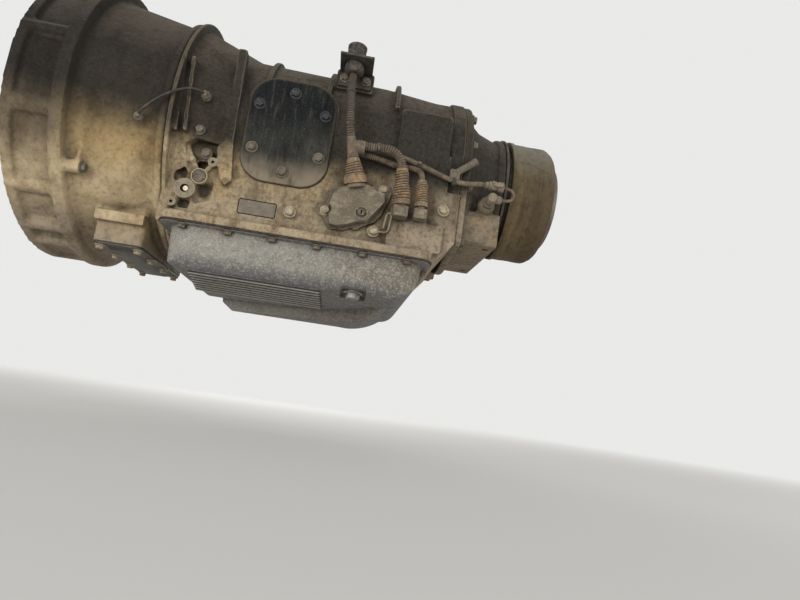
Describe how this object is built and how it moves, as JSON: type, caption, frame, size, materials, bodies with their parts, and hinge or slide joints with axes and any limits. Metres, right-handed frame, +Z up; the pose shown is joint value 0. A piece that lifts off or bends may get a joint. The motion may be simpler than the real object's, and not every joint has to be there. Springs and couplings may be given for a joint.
{
  "type": "truck automatic gearbox",
  "caption": "Automatic truck gearbox with bell housing, stepped oil pan, selector switch, wiring leads and a propshaft brake drum.",
  "frame": {"origin": "centre of the converter housing's front face, on the shaft axis", "axes": "+X along the shafts to the rear, +Z up, -Y out of the side with the selector switch and leads"},
  "size_m": [0.845, 0.46, 0.4866],
  "materials": {
    "housing_casting": "weathered cast, dusty",
    "case_casting": "weathered cast, dusty",
    "rear_casting": "weathered cast, dusty",
    "pan_paint": "black paint under dried dust",
    "cover_paint": "dark, dusty",
    "zinc_steel": "dull plated steel",
    "machined_steel": "oily machined steel",
    "converter_steel": "dark pressed steel",
    "switch_plastic": "dusty dark plastic",
    "boot_rubber": "ochre with dust",
    "lead_sleeve": "dusty corrugated sleeve",
    "tube_paint": "black painted tube",
    "brake_paint": "dark, dusty",
    "drum_iron": "dust over bare iron"
  },
  "bodies": {
    "housing": {"converter_housing": "housing_casting", "main_case": "case_casting", "rear_housing": "rear_casting", "oil_pan": "pan_paint", "takeoff_cover_near": "cover_paint", "takeoff_cover_far": "cover_paint", "access_cover": "cover_paint", "drain_plug": "zinc_steel", "selector_shaft": "zinc_steel", "selector_lever": "zinc_steel", "cooler_union_front": "zinc_steel", "cooler_union_rear": "zinc_steel", "harness_bracket": "zinc_steel", "vent_stub": "zinc_steel", "brake_lever": "zinc_steel", "selector_switch": "switch_plastic", "harness_plug": "switch_plastic", "sensor_plug": "switch_plastic", "speed_sensor": "switch_plastic", "solenoid_socket": "switch_plastic", "valve_socket": "switch_plastic", "switch_boot": "boot_rubber", "solenoid_boot": "boot_rubber", "valve_boot": "boot_rubber", "harness_trunk": "lead_sleeve", "solenoid_lead": "lead_sleeve", "valve_lead": "lead_sleeve", "sensor_lead": "lead_sleeve", "sensor_pigtail": "lead_sleeve", "branch_sleeve": "lead_sleeve", "breather_pipe": "lead_sleeve", "fill_tube": "tube_paint", "fill_cap": "tube_paint", "backing_plate": "brake_paint", "brake_shoes": "brake_paint"},
    "converter": {"torque_converter": "converter_steel"},
    "output": {"output_shaft": "machined_steel", "companion_flange": "machined_steel", "brake_drum": "drum_iron"}
  },
  "joints": [
    {"name": "converter_spin", "type": "hinge", "parent": "housing", "child": "converter", "pos_m": [0.1, 0, 0], "axis": [1, 0, 0], "continuous": true},
    {"name": "output_spin", "type": "hinge", "parent": "housing", "child": "output", "pos_m": [0.78, 0, 0], "axis": [1, 0, 0], "continuous": true}
  ]
}
